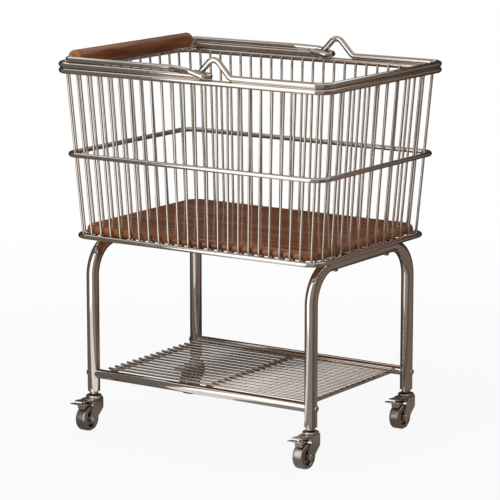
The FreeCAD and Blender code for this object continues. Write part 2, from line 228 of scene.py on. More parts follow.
def turned(profile, at, axis, across, sides=56, closed=False):
    """A turned shape: at + h . axis + r (cos a . across + sin a . axis x across).

    The profile is rows of (r, h). Its ends, near r = 0, are closed by a face, or it is a
    loop that never meets the axis.
    """
    profile = np.asarray(profile, float)
    a = np.linspace(0, 2 * math.pi, sides, endpoint=False)[None, :, None]
    around = np.cos(a) * across + np.sin(a) * np.cross(axis, across)
    points = np.asarray(at) + profile[:, 1, None, None] * axis + profile[:, 0, None, None] * around
    return grid_shell(points, closed)


def eased_outline(outline, radii, closed=False, steps=5):
    """An outline in millimetres with rounded corners, given back in metres."""
    return rounded_route(outline, radii, closed, steps) * MM


def rounded_rectangle(half_x, half_y, radius, steps=10):
    """Outline of a rectangle whose corners are quarter circles, as (x, y) rows."""
    corners = [(half_x, half_y), (-half_x, half_y), (-half_x, -half_y), (half_x, -half_y)]
    return rounded_route(corners, [radius] * 4, True, steps)


def ellipsoids(centres, half_long, half_wide, along, sides=8, rows=5):
    """Small beads: centre + half_long cos p . along + half_wide sin p (round along)."""
    p = np.linspace(0.3, math.pi - 0.3, rows)[:, None, None]
    a = np.linspace(0, 2 * math.pi, sides, endpoint=False)[None, :, None]
    along = np.asarray(along, float)
    other = unit(np.cross(along, X + 0.3 * Y + 0.1 * Z))
    third = np.cross(along, other)
    around = np.cos(a) * other + np.sin(a) * third
    bead = half_long * np.cos(p) * along + half_wide * np.sin(p) * around
    return grid_shell(np.asarray(centres)[:, None, None, :] + bead)


# ------------------------------------------------------------------- lines of the basket


class SideWires:
    """The lean and the hook of the upright wires of two opposite walls.

    A wire touches the base hoop at hook_contact degrees up its hook's bend and the rim on its
    inside, so its line leans out from the vertical by acos(reach / d) - atan2(dz, dn), where d
    is how far the bend's centre lies from the rim bar and reach is bend plus both radii.
    """

    hook_contact = math.radians(35.0)
    weld = 0.25 * MM

    def __init__(self, sizes, base_half, rim_half, base_z, rim_z):
        hoop_reach = (sizes.hoop_rod + sizes.wire) / 2 - self.weld
        rim_reach = (sizes.rim_rod + sizes.wire) / 2 - self.weld
        reach = sizes.hook_bend + hoop_reach
        self.bend = sizes.hook_bend
        self.centre_n = base_half - reach * math.cos(self.hook_contact)
        self.centre_z = base_z + reach * math.sin(self.hook_contact)
        dn, dz = rim_half - self.centre_n, rim_z - self.centre_z
        far = math.hypot(dn, dz)
        self.lean = math.acos((self.bend + rim_reach) / far) - math.atan2(dz, dn)
        self.hook_z = self.centre_z - self.bend

    def out_at(self, z):
        """How far out the wire's line is at height z."""
        return (self.centre_n + self.bend / math.cos(self.lean)
                + (z - self.centre_z) * math.tan(self.lean))


def corner_inset(along, half, radius):
    """How far a hoop has curved in from its side at this distance along it."""
    into = max(0.0, abs(along) - (half - radius))
    return radius - math.sqrt(radius ** 2 - into ** 2)


def ring_size(node, rod):
    """Half length, half width and height of a hoop's centre line."""
    low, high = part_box(node)
    return high[0] - rod / 2, high[1] - rod / 2, low[2] + rod / 2


def wall_wires(sizes, along_axis, count, top_run, foot_run):
    """Routes of the wires of the two walls that stand across the other axis."""
    rim = ring_size("rim_ring_lower", sizes.rim_rod)
    base = ring_size("base_hoop", sizes.hoop_rod)
    out_axis = 1 - along_axis
    routes = []
    for share in np.linspace(-0.5, 0.5, count):
        top, foot = top_run * share, foot_run * share
        base_in = corner_inset(foot, base[along_axis], sizes.hoop_corner)
        rim_in = corner_inset(top, rim[along_axis], sizes.hoop_corner)
        line = SideWires(sizes, base[out_axis] - base_in, rim[out_axis] - rim_in,
                         base[2], rim[2])
        corner = line.out_at(line.hook_z)
        flat = [(top, line.out_at(rim[2]), rim[2]), (foot, corner, line.hook_z),
                (foot, corner - sizes.hook_length, line.hook_z)]
        for side in (-1, 1):
            points = np.zeros((3, 3))
            points[:, along_axis] = [p[0] for p in flat]
            points[:, out_axis] = [side * p[1] for p in flat]
            points[:, 2] = [p[2] for p in flat]
            routes.append(rounded_route(points, [0, sizes.hook_bend, 0], steps=6))
    return np.stack(routes)


LONG_RUNS = (591.0 * MM, 541.0 * MM)
SHORT_RUNS = (381.0 * MM, 353.5 * MM)
LEG = (261.0 * MM, 182.0 * MM)
NOTCH = {"x": 65.0 * MM, "half": 38.0 * MM, "rise": 40.3 * MM, "top": 16.0 * MM,
         "foot": 12.0 * MM}
BAIL = {"pivot_x": 51.0 * MM, "pivot_z": 745.8 * MM, "grip_x": middle_of("handle_grip", 0),
        "corner": 10.0 * MM, "hairpin": 8.5 * MM, "tail": 42.0 * MM, "tail_rise": 5.0 * MM,
        "clear": 0.8 * MM}
RAIL_SETBACK = 8.2 * MM
RAIL_BOLT_SEAT = 12.75 * MM
AXLE_CAP_SEAT = 16.05 * MM
CROSS_X = 236.0 * MM
SHELF_PITCH = 20.6 * MM
SHELF_OVERHANG = 7.0 * MM
WELD = 0.25 * MM
AXLE = (-24.0 * MM, 25.5 * MM)


def hoop_route(half_x, half_y, z, corner):
    outline = rounded_rectangle(half_x, half_y, corner, 12)
    return np.column_stack([outline, np.full(len(outline), z)])


def notched_route(half_x, half_y, z, corner):
    """The upper rim bar: a hoop that rises into a notch on each long side."""
    low, high = NOTCH["x"] - NOTCH["half"], NOTCH["x"] + NOTCH["half"]
    top = z + NOTCH["rise"]
    points = [(half_x, -half_y, z), (half_x, half_y, z), (high, half_y, z),
              (NOTCH["x"], half_y, top), (low, half_y, z), (-half_x, half_y, z),
              (-half_x, -half_y, z), (low, -half_y, z), (NOTCH["x"], -half_y, top),
              (high, -half_y, z)]
    bends = [NOTCH["foot"], NOTCH["top"], NOTCH["foot"]]
    radii = [corner, corner] + bends + [corner, corner] + bends
    return rounded_route(points, radii, True, 12)


def bail_route(sizes, half_width, pivot_z, rest_z):
    """The handle's rod, from one tail through its hairpin, along the rim and across."""
    beside = (sizes.rim_rod + sizes.bail_rod) / 2 + BAIL["clear"]
    inner, outer = half_width - beside, half_width + beside
    tail_x = BAIL["pivot_x"] - BAIL["tail"]
    one_side = [
        (tail_x, inner, pivot_z + BAIL["tail_rise"]), (BAIL["pivot_x"], inner, pivot_z),
        (BAIL["pivot_x"], outer, pivot_z), (BAIL["pivot_x"] - 37 * MM, outer, rest_z - 2.4 * MM),
        (BAIL["pivot_x"] - 81 * MM, half_width, rest_z + 0.2 * MM),
        (BAIL["grip_x"], half_width, rest_z)]
    front = np.array(one_side) * (1, -1, 1)
    radii = [0, BAIL["hairpin"], BAIL["hairpin"], 30 * MM, 60 * MM, BAIL["corner"]]
    points = np.concatenate([front, np.array(one_side)[::-1]])
    return rounded_route(points, radii + radii[::-1], steps=10)


# ---------------------------------------------------------------------------- pieces


def make_piece(name, shells, material, body, replaced=(), sharp=40.0):
    """One object at the origin from a list of shells, riding on a body of the frame."""
    counts = np.cumsum([0] + [len(points) for points, _ in shells])
    points = np.concatenate([points for points, _ in shells])
    faces = [[int(v) + int(first) for v in face]
             for (_, group), first in zip(shells, counts) for face in group]
    mesh = bpy.data.meshes.new(name)
    mesh.from_pydata(points.tolist(), [], faces)
    mesh.shade_smooth()
    mesh.set_sharp_from_angle(angle=math.radians(sharp))
    mesh.materials.append(bpy.data.materials[material])
    mesh.validate()
    piece = bpy.data.objects.new(name, mesh)
    bpy.context.scene.collection.objects.link(piece)
    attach(piece, body)
    if replaced:
        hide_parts(*replaced)
    return piece


def add_attribute(piece, name, values):
    """One number for each vertex, for a material to read."""
    layer = piece.data.attributes.new(name, "FLOAT", "POINT")
    layer.data.foreach_set("value", np.asarray(values, np.float32))


def vertex_array(piece):
    flat = np.zeros(len(piece.data.vertices) * 3)
    piece.data.vertices.foreach_get("co", flat)
    return flat.reshape(-1, 3)


def near_welds(points, heights, reach):
    """One at a weld's height, falling to nothing over reach: exp(-(dz / reach)^2)."""
    away = np.abs(points[:, 2:3] - np.asarray(heights)[None]).min(1)
    return np.exp(-(away / reach) ** 2)


# -------------------------------------------------------------------------- finishes


def add_socket(group, name, kind, way, default=None):
    socket = group.interface.new_socket(name, in_out=way, socket_type=kind)
    if default is not None:
        socket.default_value = default
    return socket


def math_node(nodes, links, operation, first, second, third=None):
    """A Math node fed by sockets or numbers, giving back its output."""
    node = nodes.new("ShaderNodeMath")
    node.operation = operation
    for slot, value in zip(node.inputs, (first, second, third)):
        if value is None:
            continue
        if isinstance(value, (int, float)):
            slot.default_value = value
        else:
            links.new(value, slot)
    return node.outputs[0]


def noise(nodes, links, vector, scale, detail=4.0, roughness=0.55, distortion=0.0):
    """A Noise Texture's value output on a vector, with its scale a number or a socket."""
    node = nodes.new("ShaderNodeTexNoise")
    node.inputs["Detail"].default_value = detail
    node.inputs["Roughness"].default_value = roughness
    node.inputs["Distortion"].default_value = distortion
    links.new(vector, node.inputs["Vector"])
    if isinstance(scale, (int, float)):
        node.inputs["Scale"].default_value = scale
    else:
        links.new(scale, node.inputs["Scale"])
    return node.outputs["Fac"]


def spread(nodes, links, value, low, high, out_low, out_high):
    """A Map Range from low..high to out_low..out_high, clamped."""
    node = nodes.new("ShaderNodeMapRange")
    for name, number in (("From Min", low), ("From Max", high),
                         ("To Min", out_low), ("To Max", out_high)):
        if isinstance(number, (int, float)):
            node.inputs[name].default_value = number
        else:
            links.new(number, node.inputs[name])
    links.new(value, node.inputs["Value"])
    return node.outputs["Result"]


def mix_colour(nodes, links, share, first, second, blend="MIX"):
    node = nodes.new("ShaderNodeMix")
    node.data_type = "RGBA"
    node.blend_type = blend
    for slot, value in ((node.inputs[0], share), (node.inputs[6], first),
                        (node.inputs[7], second)):
        if isinstance(value, (int, float)):
            slot.default_value = value
        elif isinstance(value, tuple):
            slot.default_value = value
        else:
            links.new(value, slot)
    return node.outputs[2]


def stretched(nodes, links, vector, scale):
    """A vector scaled by its own amount along each axis."""
    node = nodes.new("ShaderNodeMapping")
    node.vector_type = "POINT"
    node.inputs["Scale"].default_value = scale
    links.new(vector, node.inputs["Vector"])
    return node.outputs["Vector"]


def new_group(name, inputs, outputs):
    group = bpy.data.node_groups.new(name, "ShaderNodeTree")
    for label, kind, default in inputs:
        add_socket(group, label, kind, "INPUT", default)
    for label, kind in outputs:
        add_socket(group, label, kind, "OUTPUT")
    entry = group.nodes.new("NodeGroupInput")
    leave = group.nodes.new("NodeGroupOutput")
    return group, group.nodes, group.links, entry.outputs, leave.inputs


NUMBER, COLOUR, VECTOR = "NodeSocketFloat", "NodeSocketColor", "NodeSocketVector"


def plating_group():
    """Clouded plating: warm clouds in colour, wiped smudges in gloss, a faint orange peel."""
    group, nodes, links, given, made = new_group(
        "Plating",
        [("Vector", VECTOR, None), ("Bright", COLOUR, (0.6, 0.6, 0.6, 1)),
         ("Shade", COLOUR, (0.4, 0.4, 0.4, 1)), ("Cloud Scale", NUMBER, 9.0),
         ("Gloss Low", NUMBER, 0.1), ("Gloss High", NUMBER, 0.3), ("Grain Scale", NUMBER, 900.0)],
        [("Color", COLOUR), ("Roughness", NUMBER), ("Height", NUMBER)])
    clouds = noise(nodes, links, given["Vector"], given["Cloud Scale"], 5.0)
    fine = noise(nodes, links, given["Vector"],
                 math_node(nodes, links, "MULTIPLY", given["Cloud Scale"], 9.0), 6.0, 0.7)
    share = spread(nodes, links, clouds, 0.38, 0.68, 0.0, 0.75)
    specks = spread(nodes, links, fine, 0.62, 0.8, 0.0, 0.5)
    tone = mix_colour(nodes, links, share, given["Bright"], given["Shade"])
    links.new(mix_colour(nodes, links, specks, tone, given["Shade"]), made["Color"])
    smudge = math_node(nodes, links, "MULTIPLY_ADD", fine, 0.6,
                       math_node(nodes, links, "MULTIPLY", clouds, 0.4))
    rough = spread(nodes, links, smudge, 0.35, 0.68, given["Gloss Low"], given["Gloss High"])
    links.new(rough, made["Roughness"])
    grain = noise(nodes, links, given["Vector"], given["Grain Scale"], 2.0)
    links.new(math_node(nodes, links, "MULTIPLY_ADD", grain, 0.35,
                        math_node(nodes, links, "MULTIPLY", fine, 0.65)), made["Height"])
    return group


def edge_group():
    """Rubbed edges, and painted shade in the hollows, from how far the surface bulges or hollows.
    """
    group, nodes, links, given, made = new_group(
        "Edge Wear And Painted Shade",
        [("Color", COLOUR, (0.5, 0.5, 0.5, 1)), ("Rubbed", COLOUR, (0.8, 0.78, 0.75, 1)),
         ("Painted Shade", COLOUR, (0.06, 0.045, 0.035, 1)), ("Amount", NUMBER, 0.6)],
        [("Color", COLOUR)])
    bulge = nodes.new("ShaderNodeNewGeometry").outputs["Pointiness"]
    edge = spread(nodes, links, bulge, 0.52, 0.6, 0.0, 1.0)
    # painted shade: concave places, where Pointiness is low, are darkened towards a near-black
    # colour
    hollow = spread(nodes, links, bulge, 0.485, 0.42, 0.0, 1.0)
    rubbed = math_node(nodes, links, "MULTIPLY", edge, given["Amount"])
    painted_hollow_shade = math_node(nodes, links, "MULTIPLY", hollow, given["Amount"])
    tone = mix_colour(nodes, links, rubbed, given["Color"], given["Rubbed"])
    links.new(mix_colour(nodes, links, painted_hollow_shade, tone, given["Painted Shade"]), made["Color"])
    return group


def grain_group():
    """Walnut: long streaks, wavy growth lines and short open pores along the vector's X."""
    group, nodes, links, given, made = new_group(
        "Walnut Grain",
        [("Vector", VECTOR, None), ("Light", COLOUR, (0.3, 0.12, 0.04, 1)),
         ("Dark", COLOUR, (0.1, 0.03, 0.01, 1)), ("Figure", NUMBER, 1.0)],
        [("Color", COLOUR), ("Roughness", NUMBER), ("Height", NUMBER)])
    wide = stretched(nodes, links, given["Vector"], (2.6, 24.0, 24.0))
    figure = noise(nodes, links, wide, given["Figure"], 3.0, 0.6, 1.4)
    close = stretched(nodes, links, given["Vector"], (5.0, 130.0, 130.0))
    fibres = noise(nodes, links, close, given["Figure"], 5.0, 0.6, 0.5)
    broad = spread(nodes, links, figure, 0.36, 0.64, 0.0, 1.0)
    streaks = math_node(nodes, links, "MULTIPLY_ADD", broad, 0.6,
                        math_node(nodes, links, "MULTIPLY", fibres, 0.4))
    wave = nodes.new("ShaderNodeTexWave")
    wave.wave_type, wave.bands_direction = "BANDS", "Y"
    wave.inputs["Scale"].default_value = 22.0
    wave.inputs["Distortion"].default_value = 7.0
    wave.inputs["Detail"].default_value = 3.0
    wave.inputs["Detail Scale"].default_value = 1.4
    links.new(stretched(nodes, links, given["Vector"], (0.35, 1.0, 1.0)), wave.inputs["Vector"])
    pore_field = noise(nodes, links, stretched(nodes, links, given["Vector"], (60.0, 900.0, 900.0)),
                       1.0, 3.0, 0.6)
    pores = spread(nodes, links, pore_field, 0.56, 0.72, 0.0, 1.0)
    lines = math_node(nodes, links, "MULTIPLY_ADD", wave.outputs["Fac"], 0.25,
                      math_node(nodes, links, "MULTIPLY", streaks, 0.9))
    share = spread(nodes, links, lines, 0.22, 0.92, 0.0, 1.0)
    tone = mix_colour(nodes, links, share, given["Light"], given["Dark"])
    shade = math_node(nodes, links, "MULTIPLY", pores, 0.4)
    links.new(mix_colour(nodes, links, shade, tone, given["Dark"]), made["Color"])
    links.new(spread(nodes, links, streaks, 0.3, 0.75, 0.32, 0.48), made["Roughness"])
    links.new(math_node(nodes, links, "SUBTRACT",
                        math_node(nodes, links, "MULTIPLY", streaks, 0.4), pores), made["Height"])
    return group


class Finish:
    """A material with a Principled shader, built up a step at a time."""

    def __init__(self, name):
        self.material = bpy.data.materials.new(name)
        self.material.use_nodes = True
        tree = self.material.node_tree
        self.nodes, self.links = tree.nodes, tree.links
        self.nodes.clear()
        self.output = self.nodes.new("ShaderNodeOutputMaterial")
        self.shader = self.nodes.new("ShaderNodeBsdfPrincipled")
        self.links.new(self.shader.outputs[0], self.output.inputs["Surface"])
        self.place = self.nodes.new("ShaderNodeTexCoord").outputs["Object"]

    def group(self, tree, **values):
        """Places a shared group and sets or links its inputs by name."""
        node = self.nodes.new("ShaderNodeGroup")
        node.node_tree = tree
        for label, value in values.items():
            slot = node.inputs[label.replace("_", " ")]
            if isinstance(value, (int, float, tuple)):
                slot.default_value = value
            else:
                self.links.new(value, slot)
        return node.outputs

    def bump(self, height, strength, distance):
        node = self.nodes.new("ShaderNodeBump")
        node.inputs["Strength"].default_value = strength
        node.inputs["Distance"].default_value = distance
        self.links.new(height, node.inputs["Height"])
        self.links.new(node.outputs["Normal"], self.shader.inputs["Normal"])

    def feed(self, **sockets):
        for label, value in sockets.items():
            slot = self.shader.inputs[label.replace("_", " ")]
            if isinstance(value, (int, float, tuple)):
                slot.default_value = value
            else:
                self.links.new(value, slot)


def plated(name, plating, edges, bright, shade, gloss, clouds=9.0, wear_and_shade=0.5, peel=0.06,
           metallic=1.0):
    """A plated metal finish with clouds, smudges, rubbed edges and painted shade in the hollows."""
    finish = Finish(name)
    metal = finish.group(plating, Vector=finish.place, Bright=(*bright, 1.0),
                         Shade=(*shade, 1.0), Cloud_Scale=clouds, Gloss_Low=gloss[0],
                         Gloss_High=gloss[1])
    # the edge group lightens rubbed edges and darkens the hollows with painted shade, both by the
    # same amount
    rubbed = finish.group(edges, Color=metal["Color"], Rubbed=(0.74, 0.7, 0.66, 1.0),
                          Amount=wear_and_shade)
    finish.feed(Base_Color=rubbed["Color"], Roughness=metal["Roughness"], Metallic=metallic)
    finish.bump(metal["Height"], peel, 0.0004)
    return finish, metal, rubbed


def wire_finish(name, plating, edges, colours):
    """Drawn and plated wire, browned a little where the heat of each weld reached it."""
    finish, metal, rubbed = plated(
        name, plating, edges, colours.nickel, colours.nickel_shade,
        (colours.plating_gloss + 0.02, colours.plating_gloss + 0.12), 14.0, 0.3)
    heat = finish.nodes.new("ShaderNodeAttribute")
    heat.attribute_name = "weld_heat"
    share = math_node(finish.nodes, finish.links, "MULTIPLY", heat.outputs["Fac"], 0.45)
    tone = mix_colour(finish.nodes, finish.links, share, rubbed["Color"],
                      (*colours.weld_heat, 1.0))
    finish.feed(Base_Color=tone)
    return finish


def board_finish(grain, colours):
    """Edge-glued walnut strips under a clear, hard, polished lacquer."""
    finish = Finish("walnut_board")
    nodes, links = finish.nodes, finish.links
    parts = nodes.new("ShaderNodeSeparateXYZ")
    links.new(finish.place, parts.inputs[0])
    strip = math_node(nodes, links, "FLOOR",
                      math_node(nodes, links, "MULTIPLY", parts.outputs["Y"], 15.2), None)
    chance = nodes.new("ShaderNodeTexWhiteNoise")
    chance.noise_dimensions = "1D"
    links.new(strip, chance.inputs["W"])
    shift = nodes.new("ShaderNodeVectorMath")
    shift.operation = "MULTIPLY_ADD"
    links.new(chance.outputs["Color"], shift.inputs[0])
    shift.inputs[1].default_value = (3.0, 1.3, 0.4)
    links.new(finish.place, shift.inputs[2])
    wood = finish.group(grain, Vector=shift.outputs["Vector"], Light=(*colours.walnut, 1.0),
                        Dark=(*colours.walnut_dark, 1.0))
    tint = spread(nodes, links, chance.outputs["Value"], 0.0, 1.0, 0.0, 0.4)
    tone = mix_colour(nodes, links, tint, wood["Color"], (*colours.walnut_dark, 1.0))
    finish.feed(Base_Color=tone, Roughness=wood["Roughness"], Specular_IOR_Level=0.1,
                Coat_Weight=0.9, Coat_Roughness=colours.lacquer, Coat_IOR=1.5)
    finish.bump(wood["Height"], 0.06, 0.0002)
    return finish


def grip_finish(grain, colours):
    """Oiled and waxed turned walnut, its grain along the grip, with painted light making its ends
    paler.
    """
    finish = Finish("turned_grip")
    nodes, links = finish.nodes, finish.links
    turn = nodes.new("ShaderNodeMapping")
    turn.inputs["Rotation"].default_value = (0.0, 0.0, math.pi / 2)
    links.new(finish.place, turn.inputs["Vector"])
    wood = finish.group(grain, Vector=turn.outputs["Vector"], Light=(*colours.grip, 1.0),
                        Dark=(*colours.grip_dark, 1.0), Figure=1.6)
    # painted light: the grip's end faces are mixed towards a paler orange
    end = nodes.new("ShaderNodeAttribute")
    end.attribute_name = "grip_end_painted_light"
    tone = mix_colour(nodes, links, end.outputs["Fac"], wood["Color"],
                      (0.5, 0.22, 0.075, 1.0))
    finish.feed(Base_Color=tone, Roughness=wood["Roughness"], Specular_IOR_Level=0.25,
                Coat_Weight=0.3, Coat_Roughness=0.24)
    finish.bump(wood["Height"], 0.14, 0.0003)
    return finish


def moulded(name, plating, tone, shade, gloss):
    """Moulded nylon: a fine pebble in the surface and scuffed, uneven gloss."""
    finish = Finish(name)
    skin = finish.group(plating, Vector=finish.place, Bright=(*tone, 1.0), Shade=(*shade, 1.0),
                        Cloud_Scale=40.0, Gloss_Low=gloss[0], Gloss_High=gloss[1],
                        Grain_Scale=1800.0)
    finish.feed(Base_Color=skin["Color"], Roughness=skin["Roughness"])
    finish.bump(skin["Height"], 0.3, 0.0003)
    return finish


# ------------------------------------------------------------------------- operators


class BASKET_OT_finishes(bpy.types.Operator):
    """Make the finishes and give each frame node its own"""

    bl_idname = "basket.finishes"
    bl_label = "Finishes"

    def execute(self, context):
        for plain in list(bpy.data.materials):
            bpy.data.materials.remove(plain)
        colours = context.scene.basket_colours
        plating, edges, grain = plating_group(), edge_group(), grain_group()
        gloss = colours.plating_gloss
        plated("nickel_steel", plating, edges, colours.nickel, colours.nickel_shade,
               (gloss, gloss + 0.1))
        plated("nickel_tube", plating, edges, colours.nickel, colours.nickel_shade,
               (gloss - 0.04, gloss + 0.08), 7.0, 0.4, 0.08)
        wire_finish("nickel_wire", plating, edges, colours)
        plated("weld_nickel", plating, edges, colours.nickel, colours.weld_heat,
               (gloss + 0.12, gloss + 0.3), 160.0, 0.3, 0.4)
        plated("caster_chrome", plating, edges, colours.chrome, colours.chrome_shade,
               (0.12, 0.3), 34.0, 0.8, 0.16)
        plated("pedal_chrome", plating, edges, colours.chrome, colours.chrome_shade,
               (0.14, 0.34), 46.0, 0.9, 0.2)
        plated("wheel_hub_chrome", plating, edges, colours.chrome, colours.chrome_shade,
               (0.16, 0.36), 60.0, 0.7, 0.25)
        plated("wheel_tread_chrome", plating, edges, colours.wheel, colours.chrome_shade,
               (0.22, 0.42), 50.0, 0.5, 0.35)
        plated("polished_bolt", plating, edges, colours.nickel, colours.nickel_shade,
               (0.08, 0.2), 80.0, 0.6, 0.1)
        plated("zinc_bolt", plating, edges, (0.55, 0.56, 0.58), (0.38, 0.37, 0.33),
               (0.28, 0.5), 90.0, 0.5, 0.3)
        plated("steel_plug", plating, edges, (0.45, 0.44, 0.43), (0.28, 0.25, 0.22),
               (0.35, 0.6), 70.0, 0.3, 0.4)
        plated("brass_insert", plating, edges, (0.72, 0.52, 0.24), (0.45, 0.3, 0.12),
               (0.25, 0.45), 90.0, 0.5, 0.3)
        board_finish(grain, colours)
        grip_finish(grain, colours)
        moulded("nylon_black", plating, (0.03, 0.03, 0.031), (0.012, 0.012, 0.012), (0.4, 0.6))
        slots = node_slots()
        for name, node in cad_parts.items():
            node.data.materials.clear()
            node.data.materials.append(bpy.data.materials[slots[name]])
        return {"FINISHED"}


def node_slots():
    """Which finish each frame node takes, by its name without the corner's letters."""
    by_piece = {
        "rim_ring_lower": "nickel_steel", "rim_ring_upper": "nickel_steel",
        "mid_hoop": "nickel_steel", "base_hoop": "nickel_steel",
        "long_side_wires": "nickel_wire", "short_side_wires": "nickel_wire",
        "base_board": "walnut_board", "board_inserts": "brass_insert",
        "board_spacers": "nylon_black", "board_bolts": "zinc_bolt",
        "leg_frame_left": "nickel_tube", "leg_frame_right": "nickel_tube",
        "shelf_rail_front": "nickel_tube", "shelf_rail_back": "nickel_tube",
        "rail_plugs": "steel_plug", "rail_bolts": "polished_bolt",
        "shelf_cross_rods": "nickel_steel", "shelf_wires": "nickel_wire",
        "leg_sockets": "nylon_black", "caster_stems": "caster_chrome",
        "bail_handle": "nickel_steel", "handle_grip": "turned_grip",
        "caster_fork": "caster_chrome", "caster_axle": "polished_bolt",
        "wheel_hub": "wheel_hub_chrome", "wheel_tread": "wheel_tread_chrome",
        "brake_pedal": "pedal_chrome", "pedal_pin": "polished_bolt"}
    slots = {}
    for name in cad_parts:
        stem, _, tail = name.rpartition("_")
        slots[name] = by_piece[stem if tail in CORNERS else name]
    return slots


class BASKET_OT_hoops(bpy.types.Operator):
    """Make the two rim bars, the middle hoop and the base hoop"""

    bl_idname = "basket.hoops"
    bl_label = "Rim and Hoops"

    def execute(self, context):
        sizes = context.scene.basket_sizes
        for node, rod, name in (("rim_ring_lower", sizes.rim_rod, "lower_rim_bar"),
                                ("mid_hoop", sizes.hoop_rod, "middle_hoop_bar"),
                                ("base_hoop", sizes.hoop_rod, "base_hoop_bar")):
            half_x, half_y, z = ring_size(node, rod)
            route = hoop_route(half_x, half_y, z, sizes.hoop_corner)
            make_piece(name, [bar(route, rod, Z, 28, True)], "nickel_steel", "cart_frame",
                       (node,))
        half_x, half_y, z = ring_size("rim_ring_upper", sizes.rim_rod)
        route = notched_route(half_x, half_y, z, sizes.hoop_corner)
        make_piece("upper_rim_bar", [bar(route, sizes.rim_rod, Z, 28, True)], "nickel_steel",
                   "cart_frame", ("rim_ring_upper",))
        return {"FINISHED"}


class BASKET_OT_wires(bpy.types.Operator):
    """Make the upright wires of the four walls and the welds that hold them"""

    bl_idname = "basket.wires"
    bl_label = "Side Wires"

    def execute(self, context):
        sizes = context.scene.basket_sizes
        heights = [ring_size(node, rod)[2] for node, rod in (
            ("rim_ring_lower", sizes.rim_rod), ("mid_hoop", sizes.hoop_rod),
            ("base_hoop", sizes.hoop_rod))]
        beads = []
        for node, axis, count, runs, reference in (
                ("long_side_wires", 0, sizes.long_wires, LONG_RUNS, X),
                ("short_side_wires", 1, sizes.short_wires, SHORT_RUNS, Y)):
            routes = wall_wires(sizes, axis, count, *runs)
            top, foot = routes[:, 0], routes[:, 1]
            shares = np.concatenate([np.linspace(0, 1, 11)[:-1],
                                     [0.47, 0.485, 0.5, 0.94, 0.97]])
            shares = np.unique(shares.round(4))[None, 1:, None]
            upright = top[:, None] * (1 - shares) + foot[:, None] * shares
            routes = np.concatenate([routes[:, :1], upright, routes[:, 1:]], 1)
            piece = make_piece("wire_" + node, [bar(routes, sizes.wire, reference, 12)],
                               "nickel_wire", "cart_frame", (node,))
            heat = near_welds(vertex_array(piece), heights, 6.0 * MM)
            add_attribute(piece, "weld_heat", heat)
            for z, rod in zip(heights, (sizes.rim_rod, sizes.hoop_rod, sizes.hoop_rod)):
                beads.append(weld_spots(top, foot, z, axis, sizes, rod))
        shells = [ellipsoids(b, sizes.weld_bead, sizes.weld_bead * 0.42, Z) for b in beads]
        make_piece("wire_welds", shells, "weld_nickel", "cart_frame")
        return {"FINISHED"}


def weld_spots(top, foot, z, along_axis, sizes, rod):
    """Where each wire touches a hoop: on the wire's line at height z, half a wire further out."""
    share = ((top[:, 2] - z) / (top[:, 2] - foot[:, 2]))[:, None]
    spots = top * (1 - share) + foot * share
    out_axis = 1 - along_axis
    spots[:, out_axis] += np.sign(spots[:, out_axis]) * sizes.wire * 0.45
    spots[:, 2] -= rod * 0.12
    return spots


class BASKET_OT_board(bpy.types.Operator):
    """Make the lacquered board that is the basket's floor"""

    bl_idname = "basket.board"
    bl_label = "Board"

    def execute(self, context):
        sizes = context.scene.basket_sizes
        low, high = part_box("base_board")
        edge, flat = sizes.board_edge, 2.0 * MM
        turn = np.linspace(0, math.pi / 2, 9)
        inset = np.concatenate([[edge + flat], edge * (1 - np.sin(turn)),
                                edge * (1 - np.cos(turn)), [edge + flat]])
        rise = np.concatenate([[0.0], edge * (1 - np.cos(turn)),
                               high.z - low.z - edge * (1 - np.sin(turn)), [high.z - low.z]])
        rows = []
        for shrink, up in zip(inset, rise):
            outline = rounded_rectangle(high.x - shrink, high.y - shrink,
                                        sizes.board_corner - shrink, 12)
            rows.append(np.column_stack([outline, np.full(len(outline), low.z + up)]))
        make_piece("walnut_floor", [grid_shell(np.stack(rows))], "walnut_board", "cart_frame",
                   ("base_board",))
        return {"FINISHED"}


class BASKET_OT_handle(bpy.types.Operator):
    """Make the swinging handle's rod and its turned grip"""

    bl_idname = "basket.handle"
    bl_label = "Handle and Grip"

    def execute(self, context):
        sizes = context.scene.basket_sizes
        half_width = ring_size("rim_ring_lower", sizes.rim_rod)[1]
        pivot_z = BAIL["pivot_z"]
        low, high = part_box("handle_grip")
        rest_z = (low.z + high.z) / 2
        route = bail_route(sizes, half_width, pivot_z, rest_z)
        make_piece("handle_rod", [bar(route, sizes.bail_rod, Z, 24, end=0.5)], "nickel_steel",
                   "handle", ("bail_handle",))
        radius, half = (high.z - low.z) / 2, high.y
        bore = sizes.bail_rod / 2 + 0.08 * MM
        edge = sizes.grip_edge
        corners = [(bore, -half), (radius, -half), (radius, half), (bore, half)]
        outline = rounded_route(corners, [1.2 * MM, edge, edge, 1.2 * MM], True, 8)
        stops = np.linspace(-half + 2 * edge, half - 2 * edge, 41)
        swell = radius - 0.15 * MM * (1 - np.cos(6 * math.pi * stops / half)) / 2
        ring = outline[outline[:, 1] < 0]
        other = outline[outline[:, 1] >= 0]
        profile = np.concatenate([ring, np.column_stack([swell, stops]), other])
        piece = make_piece(
            "grip_turned", [turned(profile, (middle_of("handle_grip", 0), 0, rest_z), Y, X, 48,
                                   True)], "turned_grip", "grip",
            ("handle_grip",))
        # painted light mask: one on the grip's end faces, falling to nothing a little way in
        away = half - np.abs(vertex_array(piece)[:, 1])
        add_attribute(piece, "grip_end_painted_light", np.clip(1.15 - away / (1.1 * edge), 0, 1))
        return {"FINISHED"}


